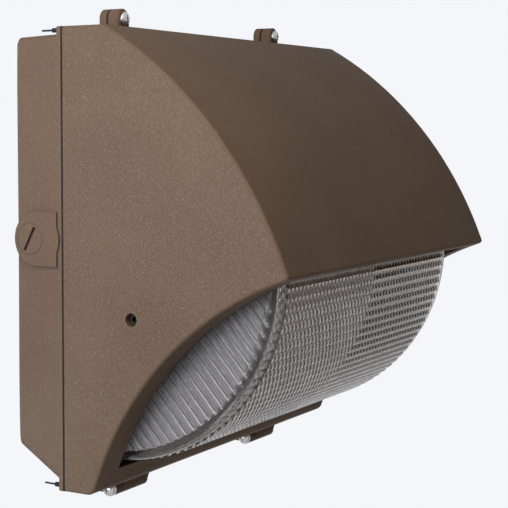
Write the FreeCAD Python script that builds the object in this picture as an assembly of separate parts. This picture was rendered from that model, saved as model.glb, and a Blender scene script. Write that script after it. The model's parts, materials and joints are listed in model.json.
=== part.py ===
import FreeCAD, Part
import math
import os

# Wall pack light: a cast rear housing on the wall and a cast hooded door, hinged along its
# foot, that carries a pressed prismatic glass. Millimetres. X is right seen from the front,
# +Y points to the wall, Z is up. The origin is on the wall plane, at mid height of the door.

V = FreeCAD.Vector
X_AXIS = V(1, 0, 0)
Z_AXIS = V(0, 0, 1)
BIG = 1000.0

# ---------------------------------------------------------------- driving dimensions
body_width = 410.0            # door and housing flange, across
body_height = 384.0           # door and housing flange, up
housing_depth = 49.0          # wall to the front face of the housing flange
gasket_thick = 2.0            # closed door gasket
cast_wall = 4.0               # wall of both castings
running_gap = 0.06            # radial, of a turning or screwed fit
seat_gap = 0.3                # between pieces that are only laid together

side_draft = 2.8              # the housing narrows this much a side towards the wall
flange_thick = 4.0
flange_proud_top = 6.0        # flange above the top wall
flange_proud_foot = 7.5       # flange below the sloped bottom wall
top_draft = 1.6
foot_rise = 26.0              # the bottom wall rises this much from flange to wall
seal_width = 5.5              # gasket land at the sides
housing_corner = 7.0
housing_back_edge = 2.5

crease_depth = 41.0           # flat top of the door, front to back
hood_radius = 367.5
tip_depth = 261.0             # wall to the lip of the hood
tip_drop = 5.0                # lip below mid height
cheek_cut_radius = 289.5      # hollow curve of the cheeks, lip to foot
foot_depth = 78.8             # wall to the foot of the cheeks
hood_edge_round = 3.4
cut_edge_round = 3.0
foot_round = 9.0

cheek_return = 28.0           # band behind the cheek's curve, seen from the front
lip_return = 8.0
sill_height = 18.0
skirt_wall = 4.0
ledge_width = 10.0
ledge_thick = 4.0

glass_radius = 166.0          # outer curve of the refractor
glass_front = 236.5           # wall to the front of the glass
glass_back = 76.0             # wall to the back of the glass bowl
glass_thick = 6.0
glass_side_gap = 4.0          # glass end to the skirt
glass_flange = 9.0
glass_front_flange = 4.0       # narrower under the hood
glass_bowl_gap = 2.5          # glass to sill
glass_end_round = 8.0
prism_pitch = 8.5             # prisms across the front of the glass
prism_depth = 1.6
prism_margin = 13.0           # plain border beside the prisms
end_rib_slant = 48.0          # degrees below the horizon
end_rib_radius = 3.9
end_rib_sink = 1.9            # rib axis inside the end face
end_rib_border = 11.0
rim_front_height = 28.0       # the seat plane meets the glass front at this height
rim_back_height = -137.0      # and the glass back at this one
glass_gasket_thick = 2.5

ear_half_span = 132.5         # top ears, from the middle
ear_width = 17.2
ear_height = 18.8             # top of an ear above the door
ear_depth_door = 10.4
ear_depth_housing = 7.0
ear_chamfer = 1.2
top_screw_radius = 3.0
top_screw_head_radius = 5.85
top_screw_head_height = 4.0
top_screw_bite = 5.0          # thread in the housing ear
top_screw_room = 0.35         # radial, where the screw passes the ears
ring_thick = 1.2
ring_width = 2.1
ring_travel = 5.5

hinge_axis_depth = 58.5
hinge_axis_drop = 8.5         # hinge axis below the door's foot
hinge_radius = 6.0
hinge_left_start = -151.1     # left end of the left knuckle
hinge_spacing = 229.4
knuckle_length = 10.4
hinge_side_gap = 0.5
lug_length = 36.5
hinge_screw_radius = 3.0
hinge_screw_head_radius = 5.2
hinge_screw_head_height = 4.2
hinge_screw_bite = 17.0
washer_thick = 1.8

plug_depth = 17.8             # wall to the axis of the side conduit holes
plug_height = 16.8
plug_radius = 13.3
plug_length = 14.0
plug_slot_width = 3.0
plug_slot_depth = 3.0
hub_half_height = 23.4
hub_round_depth = 24.0
hub_proud = 2.5
hub_inner_depth = 13.0
hub_inner_wall = 3.2

side_hole_depth = 118.0       # wall to the screw holes in the cheeks
side_hole_height = -44.5
side_hole_radius = 5.5
side_hole_bore = 14.0
side_screw_recess = 5.0
side_boss_wall = 4.0

tail_inset = 6.0              # gasket tails from the corners of the flange
tail_radius = 2.0
tail_bulb_length = 8.0
tail_thread_radius = 0.8
tail_thread_length = 11.0

bolt_hole_radius = 3.75       # wall bolts
bolt_span_x = 344.0
bolt_span_z = 270.0
box_hole_radius = 2.8         # screws to a round wiring box
box_hole_span = 88.9
wire_hole_radius = 11.1
wire_hole_height = -110.0

lamp_depth = 116.0            # wall to the lamp axis
lamp_height = 0.0
lamp_radius = 58.0
lamp_left = -178.0            # tip of the lamp base
lamp_length = 292.0
lamp_wall = 1.4
base_radius = 19.5
base_length = 40.0
socket_radius = 29.0
socket_length = 56.0
socket_play = 0.5
shell_thick = 0.8

trough_radius = 84.0
sheet_thick = 1.0
trough_half_length = 165.0
mouth_above_rim = 40.0
trough_front_flange = 24.0
trough_back_flange = 40.0
pedestal_span = 104.0
pedestal_width = 18.0
pedestal_height = 40.0

tray_stand = 12.0             # wall to the back of the gear tray
tray_thick = 1.6
tray_half_width = 150.0
tray_foot = 66.0
tray_head = 178.0
boss_radius = 6.0

core_size = (110.0, 60.0, 85.0)
core_centre_x = 75.0
coil_width = 66.0
coil_depth = 44.0
coil_overhang = 13.0
can_size = (65.0, 42.0, 90.0)
can_centre_x = -35.0
strap_thick = 1.2
strap_width = 18.0
ignitor_radius = 19.0
ignitor_length = 58.0
ignitor_centre = (-120.0, 140.0)
block_size = (52.0, 18.0, 22.0)
block_centre = (-118.0, 92.0)
clamp_radius = 3.3            # clamp screws of the supply block
gear_centre_z = 122.0

small_screw_radius = 2.1
small_head_radius = 4.2
small_head_height = 2.8
screw_bite = 6.0
lead_radius = 1.6
lead_bend = 14.0

clip_length = 22.0
clip_width = 18.0
clip_thick = 1.5
clip_grip = 5.0
clip_count = 3

# ---------------------------------------------------------------- places worked out from them
half_w = body_width / 2
half_h = body_height / 2
flange_back = -(housing_depth - flange_thick)
housing_front = -housing_depth
door_back = housing_front - gasket_thick
window_half = half_w - cheek_return
glass_half = window_half - glass_side_gap
sill_top = -half_h + sill_height
glass_foot = sill_top + glass_bowl_gap
hinge_y = -hinge_axis_depth
hinge_z = -half_h - hinge_axis_drop
ear_z = half_h + ear_height - ear_width / 2
cavity_half = half_w - seal_width - 1.0


def circle_centre(p, q, radius, side):
    """Centre (y, z) of the circle through two points; side picks which of the two."""
    my, mz = (p[0] + q[0]) / 2, (p[1] + q[1]) / 2
    dy, dz = q[0] - p[0], q[1] - p[1]
    chord = math.hypot(dy, dz)
    rise = math.sqrt(radius ** 2 - (chord / 2) ** 2) * side
    return (my - dz / chord * rise, mz + dy / chord * rise)


hood_top = (door_back - crease_depth, half_h)
hood_tip = (-tip_depth, -tip_drop)
cheek_foot = (-foot_depth, -half_h)
hood_centre = circle_centre(hood_top, hood_tip, hood_radius, 1)
cut_centre = circle_centre(hood_tip, cheek_foot, cheek_cut_radius, -1)
glass_centre = (-glass_front + glass_radius, glass_foot + glass_radius)

# The seat plane of the glass: u runs down it from the front, n stands up from it.
rim_start = (-glass_front, rim_front_height)
rim_run = (glass_front - glass_back, rim_back_height - rim_front_height)
rim_length = math.hypot(*rim_run)
rim_angle = math.degrees(math.atan2(rim_run[1], rim_run[0]))
rim_u = (rim_run[0] / rim_length, rim_run[1] / rim_length)
rim_n = (-rim_u[1], rim_u[0])


# ---------------------------------------------------------------- small shape helpers
def box(x, y, z):
    """A box from its three (low, high) spans."""
    spans = [sorted(pair) for pair in (x, y, z)]
    size = [high - low for low, high in spans]
    return Part.makeBox(*size, V(*[low for low, high in spans]))


def rod(radius, start, end):
    """A round bar between two points."""
    a, b = V(*start), V(*end)
    return Part.makeCylinder(radius, (b - a).Length, a, b - a)


def bar_x(radius, centre, x0, x1):
    """A round bar along X about a (y, z) centre."""
    low, high = min(x0, x1), max(x0, x1)
    return rod(radius, (low, centre[0], centre[1]), (high, centre[0], centre[1]))


def tube(outer, inner, start, end):
    """A round pipe between two points."""
    return rod(outer, start, end).cut(rod(inner, start, end))


def fuse(shapes):
    """One shape from many, with the seams between flush faces removed."""
    shapes = list(shapes)
    whole = shapes[0]
    if len(shapes) > 1:
        whole = whole.multiFuse(shapes[1:])
    return whole.removeSplitter()


def mirrored(shape):
    """The same shape on the other side of the middle."""
    return shape.mirror(V(0, 0, 0), X_AXIS)


def both(shape):
    """The shape and its mirror image."""
    return [shape, mirrored(shape)]


def rim_slab(x, u, n):
    """A box in the seat plane's own directions."""
    slab = box(x, u, n)
    slab.Placement = FreeCAD.Placement(V(0, rim_start[0], rim_start[1]),
                                       FreeCAD.Rotation(X_AXIS, rim_angle)).multiply(slab.Placement)
    return slab


def rim_point(x, u, n):
    """Row coordinates of a point given in the seat plane's directions."""
    return (x, rim_start[0] + u * rim_u[0] + n * rim_n[0], rim_start[1] + u * rim_u[1] + n * rim_n[1])


def round_edges(shape, radius, chosen):
    """Round the edges that chosen(edge) accepts."""
    edges = [edge for edge in shape.Edges if chosen(edge)]
    return shape.makeFillet(radius, edges) if edges else shape


def along_x(edge):
    """True for a straight edge that runs across the light."""
    box_of = edge.BoundBox
    return box_of.YLength < 0.01 and box_of.ZLength < 0.01


def ring_of_points(radius, centre, aim, sides):
    """A closed many-sided wire square to aim."""
    across = aim.cross(Z_AXIS if abs(aim.z) < 0.9 * aim.Length else X_AXIS).normalize()
    beside = aim.cross(across).normalize()
    turns = [2 * math.pi * (i + 0.5) / sides for i in range(sides)]
    points = [centre + across * (radius * math.cos(a)) + beside * (radius * math.sin(a)) for a in turns]
    return Part.makePolygon(points + points[:1])


def prism(radius, start, end, sides=8):
    """A many-sided bar that fits inside a round one of this radius."""
    a, b = V(*start), V(*end)
    return Part.Face(ring_of_points(radius, a, b - a, sides)).extrude(b - a)


def small_hole(start, end, radius=None):
    """A many-sided hole that a small screw's round shank passes through."""
    clear = (radius or small_screw_radius + running_gap) / math.cos(math.pi / 8)
    return prism(clear, start, end)


def screw(start, direction, length, radius, head_radius, head_height):
    """A pan head screw: the head stands on start, the shank runs the other way."""
    foot, aim = V(*start), V(*direction)
    shank = Part.makeCylinder(radius, length, foot, aim * -1)
    rim = head_height * 0.45
    crown = Part.makeCone(head_radius, head_radius * 0.66, head_height - rim, foot + aim * rim, aim)
    return fuse([Part.makeCylinder(head_radius, rim, foot, aim), crown, shank])


def small_screw(start, direction, length):
    """A small inner screw, the same but with few sides."""
    foot, aim = V(*start), V(*direction)
    levels = [(small_head_radius, 0), (small_head_radius, small_head_height * 0.45),
              (small_head_radius * 0.66, small_head_height)]
    rings = [ring_of_points(radius, foot + aim * rise, aim, 10) for radius, rise in levels]
    head = Part.makeLoft(rings, True, True)
    return fuse([head, prism(small_screw_radius, start, tuple(foot - aim * length))])


# ---------------------------------------------------------------- rear housing
def housing_block(inset, depth_front, depth_back, draft_in):
    """The drafted tub between the wall and the flange, drawn in by inset on every side."""
    def frame(y, half, head, foot):
        points = [V(-half, y, foot), V(half, y, foot), V(half, y, head), V(-half, y, head)]
        return Part.makePolygon(points + points[:1])
    share = (depth_front - depth_back) / -flange_back
    back = frame(depth_back, half_w - side_draft - inset[0] - draft_in,
                 half_h - flange_proud_top - top_draft - inset[1],
                 -half_h + flange_proud_foot + foot_rise + inset[2])
    front = frame(depth_front, half_w - inset[0],
                  half_h - flange_proud_top - inset[1],
                  -half_h + flange_proud_foot + foot_rise * (1 + share) + inset[2])
    return Part.makeLoft([back, front], True, True)


def housing_ear(x):
    """A top ear of the housing, rounded over its screw hole."""
    y0, y1 = housing_front, housing_front + ear_depth_housing
    foot_low = half_h - flange_proud_top - cast_wall
    foot = box((x - ear_width / 2, x + ear_width / 2), (y0, y1), (foot_low, ear_z))
    return foot.fuse(rod(ear_width / 2, (x, y0, ear_z), (x, y1, ear_z)))


def hinge_knuckle(x):
    """A fixed knuckle under the flange; x is its left end."""
    span = (x, x + knuckle_length)
    barrel = bar_x(hinge_radius, (hinge_y, hinge_z), *span)
    arm = box(span, (hinge_y, flange_back + 2), (hinge_z - hinge_radius + 2.5, hinge_z + hinge_radius))
    riser = box(span, (housing_front + 0.2, flange_back + 2), (hinge_z, -half_h + 1))
    return [barrel, arm, riser]


def conduit_hub():
    """The raised pad and inner boss of the left conduit hole."""
    face = -half_w - hub_proud + 0.5
    inner_end = -half_w + side_draft + 2
    pad = rod(hub_half_height, (face, -hub_round_depth, plug_height), (inner_end, -hub_round_depth, plug_height))
    front = box((face, -half_w + side_draft + 2), (flange_back, -hub_round_depth),
                (plug_height - hub_half_height, plug_height + hub_half_height))
    boss = rod(plug_radius + hub_inner_wall, (-half_w + 2, -plug_depth, plug_height),
               (-half_w + hub_inner_depth, -plug_depth, plug_height))
    pad = pad.fuse(front).removeSplitter()
    rim = [e for e in pad.Edges if abs(e.BoundBox.XMin - face) < 0.01 and e.BoundBox.XLength < 0.01
           and e.BoundBox.YMin > flange_back - 0.01 and e.BoundBox.YMax > flange_back + 0.5]
    pad = pad.makeChamfer(1.4, rim)
    wall_side = box((-BIG, BIG), (-BIG, -0.6), (-BIG, BIG))
    return [pad.common(wall_side), boss.common(wall_side)]


def plug_bore(side):
    """The conduit hole right through the side wall."""
    reach = side * (half_w + 20)
    return rod(plug_radius + running_gap, (reach, -plug_depth, plug_height),
               (side * (half_w - hub_inner_depth - 5), -plug_depth, plug_height))


def back_posts():
    """Cast posts on the back wall that carry the gear tray and the lamp holder's bracket."""
    posts = []
    for x, z in tray_screw_places():
        posts.append(prism(boss_radius, (x, -1, z), (x, -tray_stand, z), 12))
    for z in bracket_screw_heights:
        posts.append(prism(boss_radius, (bracket_screw_x, -1, z), (bracket_screw_x, -bracket_stand, z), 12))
    x, z = ground_place
    posts.append(prism(boss_radius, (x, -1, z), (x, -ground_stand, z), 12))
    return posts


def tray_screw_places():
    """(x, z) of the four screws of the gear tray."""
    x = tray_half_width - 10
    return [(side * x, z) for side in (-1, 1) for z in (tray_foot + 9, tray_head - 9)]


bracket_screw_x = -181.0
bracket_screw_heights = (-22.0, 38.0)
bracket_stand = 40.0
ground_place = (62.0, -118.0)
ground_stand = 9.0


def pedestals():
    """Two cast saddles that hold the back of the reflector."""
    saddles = []
    for side in (-1, 1):
        x = side * pedestal_span
        saddles.append(box((x - pedestal_width / 2, x + pedestal_width / 2),
                           (-lamp_depth + trough_radius - 6, -1),
                           (lamp_height - pedestal_height / 2, lamp_height + pedestal_height / 2)))
    trough = bar_x(trough_radius + seat_gap / 2, (-lamp_depth, lamp_height), -BIG, BIG)
    return [saddle.cut(trough) for saddle in saddles]


def wall_holes():
    """Bolt holes, wiring box screw holes and the wire entry, all through the back wall."""
    holes = []
    for x in (-bolt_span_x / 2, bolt_span_x / 2):
        for z in (-bolt_span_z / 2, bolt_span_z / 2):
            holes.append(rod(bolt_hole_radius, (x, 5, z), (x, -cast_wall - 20, z)))
    for x in (-box_hole_span / 2, box_hole_span / 2):
        holes.append(rod(box_hole_radius, (x, 5, wire_hole_height), (x, -cast_wall - 5, wire_hole_height)))
    holes.append(rod(wire_hole_radius, (0, 5, wire_hole_height), (0, -cast_wall - 5, wire_hole_height)))
    return holes


def rear_housing():
    """The cast tub: drafted walls, sloped foot, flange, ears, knuckles, hubs and posts."""
    tub = housing_block((0, 0, 0), flange_back, 0, 0)
    tub = round_edges(tub, housing_corner, lambda e: e.BoundBox.YLength > 30)
    tub = tub.makeChamfer(housing_back_edge, [e for e in tub.Edges if e.BoundBox.YMin > -0.01])
    flange = box((-half_w, half_w), (housing_front, flange_back), (-half_h, half_h))
    flange = round_edges(flange, 2.0, lambda e: e.BoundBox.YLength > 3)
    solid = [tub, flange]
    for x in (-ear_half_span, ear_half_span):
        solid.append(housing_ear(x))
    for x in (hinge_left_start, hinge_left_start + hinge_spacing):
        solid += hinge_knuckle(x)
    hub = conduit_hub()
    solid += hub[:1] + [mirrored(hub[0])]
    cast = fuse(solid)
    hollow = housing_block((seal_width + 1, cast_wall, cast_wall), housing_front - 1, -cast_wall, -1.5)
    long_edges = [e for e in hollow.Edges if e.BoundBox.YLength > 30]
    hollow = hollow.makeChamfer(housing_corner - cast_wall / 2, long_edges)
    cast = cast.cut(hollow)
    cast = fuse([cast] + both(hub[1]) + back_posts() + pedestals())
    holes = wall_holes() + [plug_bore(-1), plug_bore(1)] + housing_screw_holes()
    return cast.cut(Part.makeCompound(holes))


def housing_screw_holes():
    """Tapped holes of the ears, knuckles, posts and saddles."""
    holes = []
    for x in (-ear_half_span, ear_half_span):
        holes.append(rod(top_screw_radius + top_screw_room, (x, 0, ear_z), (x, housing_front - 5, ear_z)))
    for x in (hinge_left_start, hinge_left_start + hinge_spacing):
        holes.append(bar_x(hinge_screw_radius + running_gap, (hinge_y, hinge_z), x - 1, x + knuckle_length + 1))
    for x, z in tray_screw_places():
        holes.append(small_hole((x, -tray_stand - 1, z), (x, -tray_stand + screw_bite + 0.5, z)))
    x = bracket_screw_x
    for z in bracket_screw_heights:
        holes.append(small_hole((x, -bracket_stand - 1, z), (x, -bracket_stand + screw_bite + 2, z)))
    x, z = ground_place
    holes.append(small_hole((x, -ground_stand - 1, z), (x, -ground_stand + screw_bite, z)))
    face = -lamp_depth + trough_radius
    for x in (-pedestal_span, pedestal_span):
        holes.append(small_hole((x, face - 8, lamp_height), (x, face + screw_bite + 2, lamp_height)))
    return holes


# ---------------------------------------------------------------- door gasket
def door_gasket():
    """A flat ring in the seam; four tails are pulled through the corners of the flange."""
    edge = 0.5
    ring = box((-half_w + edge, half_w - edge), (door_back, housing_front), (-half_h + edge, half_h - edge))
    hole = box((-cavity_half - 0.5, cavity_half + 0.5), (door_back - 1, housing_front + 1),
               (-half_h + flange_proud_foot + cast_wall, half_h - flange_proud_top - cast_wall + 0.5))
    parts = [ring.cut(hole)]
    for side in (-1, 1):
        for x, y, z, aim in tail_places(side):
            start = V(x, y, z)
            bulb_end = start + aim * (flange_thick + tail_bulb_length)
            parts.append(prism(tail_radius, start, bulb_end))
            parts.append(prism(tail_thread_radius, bulb_end, bulb_end + aim * tail_thread_length, 6))
    return fuse(parts)


def tail_places(side):
    """Start and direction of the two gasket tails on one side."""
    x = side * (half_w - tail_inset)
    return [(x, housing_front, half_h - flange_proud_top / 2, V(0, 1, 0.0)),
            (x, housing_front, -half_h + flange_proud_foot / 2, V(0, 1, 0.0))]


def tail_holes():
    """Holes for the tails in the flange."""
    holes = []
    for side in (-1, 1):
        for x, y, z, aim in tail_places(side):
            holes.append(prism(tail_radius, (x, housing_front - 1, z), (x, flange_back + 1, z)))
    return holes


# ---------------------------------------------------------------- door casting
def door_block(inset):
    """The full hooded block of the door, drawn in by inset, still open at the back."""
    body = box((-half_w + inset, half_w - inset), (-tip_depth - 10, door_back + (1 if inset else 0)),
               (-half_h + inset, half_h - inset))
    hood = bar_x(hood_radius - inset, hood_centre, -BIG, BIG)
    hollow = bar_x(cheek_cut_radius + inset, cut_centre, -BIG, BIG)
    return body.common(hood).cut(hollow)


def is_hood_edge(edge):
    """True for the long outer edges between hood and cheek."""
    b = edge.BoundBox
    return b.XLength < 0.01 and b.ZMax > 0 and b.YMax < door_back + 1 and (b.YLength > 20)


def is_cut_edge(edge):
    """True for the curved lower edges of the cheeks."""
    b = edge.BoundBox
    return b.XLength < 0.01 and b.ZMax < 0 and b.ZLength > 100


def door_skin():
    """The outer form with its rounded edges."""
    block = door_block(0)
    block = round_edges(block, foot_round, lambda e: along_x(e) and abs(e.BoundBox.ZMin + half_h) < 0.01
                        and e.BoundBox.YMax < door_back - 1)
    block = round_edges(block, hood_edge_round, is_hood_edge)
    return round_edges(block, cut_edge_round, is_cut_edge)


def glass_seat(skin):
    """Skirts, shelf, lip rib and ledge that frame the glass inside the door."""
    below = -glass_gasket_thick
    deep = (-BIG, below)
    parts = []
    for side in (-1, 1):
        wall = (side * window_half, side * (window_half + skirt_wall))
        shelf = (side * window_half, side * (window_half + ledge_width))
        parts.append(rim_slab(wall, (-40, rim_length + glass_flange), deep))
        parts.append(rim_slab(shelf, (-40, rim_length + glass_flange), (below - ledge_thick, below)))
    across = (-window_half - ledge_width, window_half + ledge_width)
    parts.append(rim_slab(across, (-40, -glass_bowl_gap), (below - ledge_thick, below)))
    back_face = -glass_back + glass_bowl_gap
    shelf_floor = box(across, (-foot_depth - 12, back_face + skirt_wall), (sill_top - skirt_wall, sill_top))
    back_skirt = box(across, (back_face, back_face + skirt_wall), (sill_top - skirt_wall, 0))
    limit = rim_slab(across, (-BIG, BIG), deep)
    parts.append(shelf_floor)
    parts.append(back_skirt.common(limit))
    lip = rim_slab(across, (rim_length, rim_length + glass_flange), (below - ledge_thick, below))
    parts.append(lip.cut(box((-BIG, BIG), (-BIG, back_face), (-BIG, BIG))))
    return [part.common(skin) for part in parts]


def clip_places():
    """u of the clips along each side of the glass."""
    step = rim_length / clip_count
    return [step * (i + 0.5) for i in range(clip_count)]


def clip_pads(skin):
    """Pads on the cheeks, level with the top of the glass flange, for the clips."""
    pads = []
    for u in clip_places():
        pad = rim_slab((-half_w + 1, -glass_half - glass_flange - 1.5),
                       (u - clip_width / 2 - 1, u + clip_width / 2 + 1),
                       (-glass_gasket_thick - ledge_thick, glass_thick))
        pads += both(pad.common(skin))
    return pads


def door_ear(x):
    """A top ear of the door with a bright-edged rounded head."""
    y0, y1 = door_back - ear_depth_door, door_back
    foot = box((x - ear_width / 2, x + ear_width / 2), (y0, y1), (half_h - cast_wall / 2, ear_z))
    ear = foot.fuse(rod(ear_width / 2, (x, y0, ear_z), (x, y1, ear_z))).removeSplitter()
    front = [e for e in ear.Edges if e.BoundBox.YMax < y0 + 0.01 and e.BoundBox.ZMax > half_h]
    return ear.makeChamfer(ear_chamfer, front)


def door_lug(x):
    """A hinge lug under the door; x is its left end."""
    span = (x, x + lug_length)
    barrel = bar_x(hinge_radius, (hinge_y, hinge_z), *span)
    front = hinge_y - hinge_radius
    heel = hinge_y + 5.0
    points = [V(x, front, hinge_z), V(x + lug_length, front, hinge_z),
              V(x + lug_length + 6, front, -half_h + 1), V(x, front, -half_h + 1)]
    web = Part.Face(Part.makePolygon(points + points[:1])).extrude(V(0, heel - front, 0))
    return [barrel, web]


def side_bosses():
    """Blind bosses behind the screw holes of the cheeks."""
    start = (-half_w + 2, -side_hole_depth, side_hole_height)
    end = (-half_w + side_hole_bore + side_boss_wall, -side_hole_depth, side_hole_height)
    return both(rod(side_hole_radius + side_boss_wall, start, end))


def door_holes():
    """Ear, hinge, cheek and clip screw holes."""
    holes = []
    for x in (-ear_half_span, ear_half_span):
        holes.append(rod(top_screw_radius + top_screw_room, (x, 0, ear_z), (x, -BIG, ear_z)))
        holes.append(rod(top_screw_radius + ring_width + 0.5, (x, door_back + 1, ear_z),
                         (x, door_back - ring_thick - ring_travel - 0.9, ear_z)))
    for x in (hinge_left_start, hinge_left_start + hinge_spacing):
        lug = x + knuckle_length + hinge_side_gap
        holes.append(bar_x(hinge_screw_radius + running_gap, (hinge_y, hinge_z), lug - 1, lug + hinge_screw_bite + 1))
    hole = rod(side_hole_radius, (-half_w - 5, -side_hole_depth, side_hole_height),
               (-half_w + side_hole_bore, -side_hole_depth, side_hole_height))
    holes += both(hole)
    for x, u in clip_screw_places():
        holes.append(small_hole(rim_point(x, u, glass_thick + 1), rim_point(x, u, glass_thick - screw_bite - 0.5)))
    return holes


def clip_screw_places():
    """x and u of each clip screw."""
    x = glass_half + glass_flange + 9.5
    return [(side * x, u) for side in (-1, 1) for u in clip_places()]


def door():
    """The hooded door: skin, hollow, window, glass seat, ears, lugs and bosses."""
    skin = door_skin()
    hollow = door_block(cast_wall)
    shell = skin.cut(hollow)
    opening = box((-window_half, window_half), (-tip_depth + lip_return, door_back + 5), (sill_top, 60))
    opening = opening.common(bar_x(cheek_cut_radius + cast_wall + 0.5, cut_centre, -BIG, BIG))
    shell = shell.cut(opening)
    parts = [shell] + glass_seat(skin) + clip_pads(skin) + [b.common(skin) for b in side_bosses()]
    for x in (-ear_half_span, ear_half_span):
        parts.append(door_ear(x))
    for x in (hinge_left_start, hinge_left_start + hinge_spacing):
        parts += door_lug(x + knuckle_length + hinge_side_gap)
    return fuse(parts).cut(Part.makeCompound(door_holes()))


# ---------------------------------------------------------------- glass refractor and what holds it
def bowl(half, radius, front, back, foot):
    """The quarter-round glass bowl as a full block, below its seat plane."""
    centre = (-front + radius, foot + radius)
    curve = bar_x(radius, centre, -half, half)
    upper = box((-half, half), (-front, -back), (centre[1], centre[1] + 80))
    reach = box((-half, half), (-front - 1, -back), (foot - 1, centre[1] + 80))
    return curve.fuse(upper).common(reach).removeSplitter()


def outline_at(run, depth):
    """(y, z) on the front outline, run millimetres down from the rim and depth under its ridges."""
    straight = rim_start[1] - glass_centre[1]
    turn = max(run - straight, 0) / glass_radius
    radius = glass_radius - depth
    return (glass_centre[0] - radius * math.cos(turn),
            glass_centre[1] + straight - min(run, straight) - radius * math.sin(turn))


def front_prisms():
    """The toothed band of prisms that runs across the front and under the glass."""
    length = rim_start[1] - glass_centre[1] + glass_radius * math.pi / 2 - prism_margin
    count = int(length / prism_pitch)
    teeth = []
    for i in range(count):
        teeth.append(outline_at(i * prism_pitch, prism_depth))
        teeth.append(outline_at((i + 0.35) * prism_pitch, 0))
        teeth.append(outline_at((i + 0.65) * prism_pitch, 0))
    teeth.append(outline_at(count * prism_pitch, prism_depth))
    root = [outline_at(i * prism_pitch, glass_thick / 2) for i in range(count, -1, -3)]
    root.append(outline_at(0, glass_thick / 2))
    half = glass_half - prism_margin
    points = [V(-half, y, z) for y, z in teeth + root]
    return Part.Face(Part.makePolygon(points + points[:1])).extrude(V(2 * half, 0, 0))


def end_ribs():
    """Half-round ribs laid slantwise over the left end of the glass."""
    aim = (-math.cos(math.radians(end_rib_slant)), -math.sin(math.radians(end_rib_slant)))
    across = (-aim[1], aim[0])
    border = end_rib_border
    field = bowl(BIG, glass_radius - border, glass_front - border, glass_back + border, glass_foot + border)
    field = field.common(rim_slab((-BIG, BIG), (-BIG, BIG), (-BIG, -border)))
    x = -glass_half + end_rib_sink
    ribs = []
    for i in range(-14, 15):
        y = glass_centre[0] + across[0] * i * prism_pitch
        z = glass_centre[1] + across[1] * i * prism_pitch
        reach = (aim[0] * BIG / 2, aim[1] * BIG / 2)
        rib = prism(end_rib_radius, (x, y - reach[0], z - reach[1]), (x, y + reach[0], z + reach[1]), 12)
        rib = rib.common(field)
        ribs += [piece for piece in rib.Solids if piece.Volume > 50]
    return ribs


def glass_refractor():
    """The pressed glass: a quarter-round bowl with ribbed ends and a flat flange on its rim."""
    block = bowl(glass_half, glass_radius - prism_depth, glass_front - prism_depth, glass_back,
                 glass_foot + prism_depth)
    block = block.common(rim_slab((-BIG, BIG), (-BIG, BIG), (-BIG, glass_thick)))
    block = round_edges(block, glass_end_round, lambda e: e.BoundBox.XLength < 0.01 and e.BoundBox.ZLength > 100
                        and e.BoundBox.YLength > 100 and e.Curve.TypeId == "Part::GeomCircle")
    inner = bowl(glass_half - glass_thick, glass_radius - glass_thick, glass_front - glass_thick,
                 glass_back + glass_thick, glass_foot + glass_thick)
    flange = rim_slab((-glass_half - glass_flange, glass_half + glass_flange),
                      (-glass_front_flange, rim_length + glass_flange), (0, glass_thick))
    ribs = end_ribs()
    solid = [block, front_prisms(), flange] + ribs + [mirrored(rib) for rib in ribs]
    return fuse(solid).cut(inner)


def glass_gasket():
    """A flat silicone frame between the ledge and the glass flange."""
    ring = rim_slab((-glass_half - glass_flange, glass_half + glass_flange),
                    (-glass_front_flange + 0.5, rim_length + glass_flange), (-glass_gasket_thick, 0))
    hole = rim_slab((-glass_half - glass_side_gap, glass_half + glass_side_gap),
                    (-glass_bowl_gap, rim_length + 2 * glass_bowl_gap), (-BIG, BIG))
    return ring.cut(hole)


def glass_clips():
    """Flat steel clips that bear on the glass flange."""
    clips = []
    edge = glass_half + glass_flange
    for x, u in clip_screw_places():
        side = 1 if x > 0 else -1
        plate = rim_slab((side * (edge - clip_grip), side * (edge - clip_grip + clip_length)),
                         (u - clip_width / 2, u + clip_width / 2), (glass_thick, glass_thick + clip_thick))
        reach = box((-half_w + cast_wall + 0.5, half_w - cast_wall - 0.5), (-BIG, BIG), (-BIG, BIG))
        hole = small_hole(rim_point(x, u, glass_thick - 1), rim_point(x, u, glass_thick + 5))
        clips.append(plate.common(reach).cut(hole))
    return Part.makeCompound(clips)


def clip_screws():
    """The screws of the glass clips."""
    up = (0, rim_n[0], rim_n[1])
    level = glass_thick + clip_thick
    return Part.makeCompound([small_screw(rim_point(x, u, level), up, clip_thick + screw_bite)
                              for x, u in clip_screw_places()])


def side_screws():
    """Screws sunk in the cheeks' holes."""
    face = -half_w + side_screw_recess
    start = (face, -side_hole_depth, side_hole_height)
    end = (-half_w + side_hole_bore, -side_hole_depth, side_hole_height)
    plug = rod(side_hole_radius - running_gap, start, end)
    socket = Part.makePolygon([V(face, -side_hole_depth + 2.6 * math.cos(a), side_hole_height + 2.6 * math.sin(a))
                               for a in [math.radians(60 * i) for i in range(7)]])
    key = Part.Face(socket).extrude(V(4.0, 0, 0))
    return Part.makeCompound(both(plug.cut(key)))


# ---------------------------------------------------------------- hinge and door screws
def hinge_screws():
    """Shoulder screws through the knuckles into the door's lugs."""
    screws = []
    for x in (hinge_left_start, hinge_left_start + hinge_spacing):
        start = x - washer_thick
        reach = washer_thick + knuckle_length + hinge_side_gap + hinge_screw_bite
        screws.append(screw((start, hinge_y, hinge_z), (-1, 0, 0), reach, hinge_screw_radius,
                            hinge_screw_head_radius, hinge_screw_head_height))
    return Part.makeCompound(screws)


def hinge_washers():
    """Washers under the hinge screws' heads."""
    washers = []
    for x in (hinge_left_start, hinge_left_start + hinge_spacing):
        washers.append(tube(hinge_radius, hinge_screw_radius + running_gap,
                            (x - washer_thick, hinge_y, hinge_z), (x, hinge_y, hinge_z)))
    return Part.makeCompound(washers)


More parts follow.
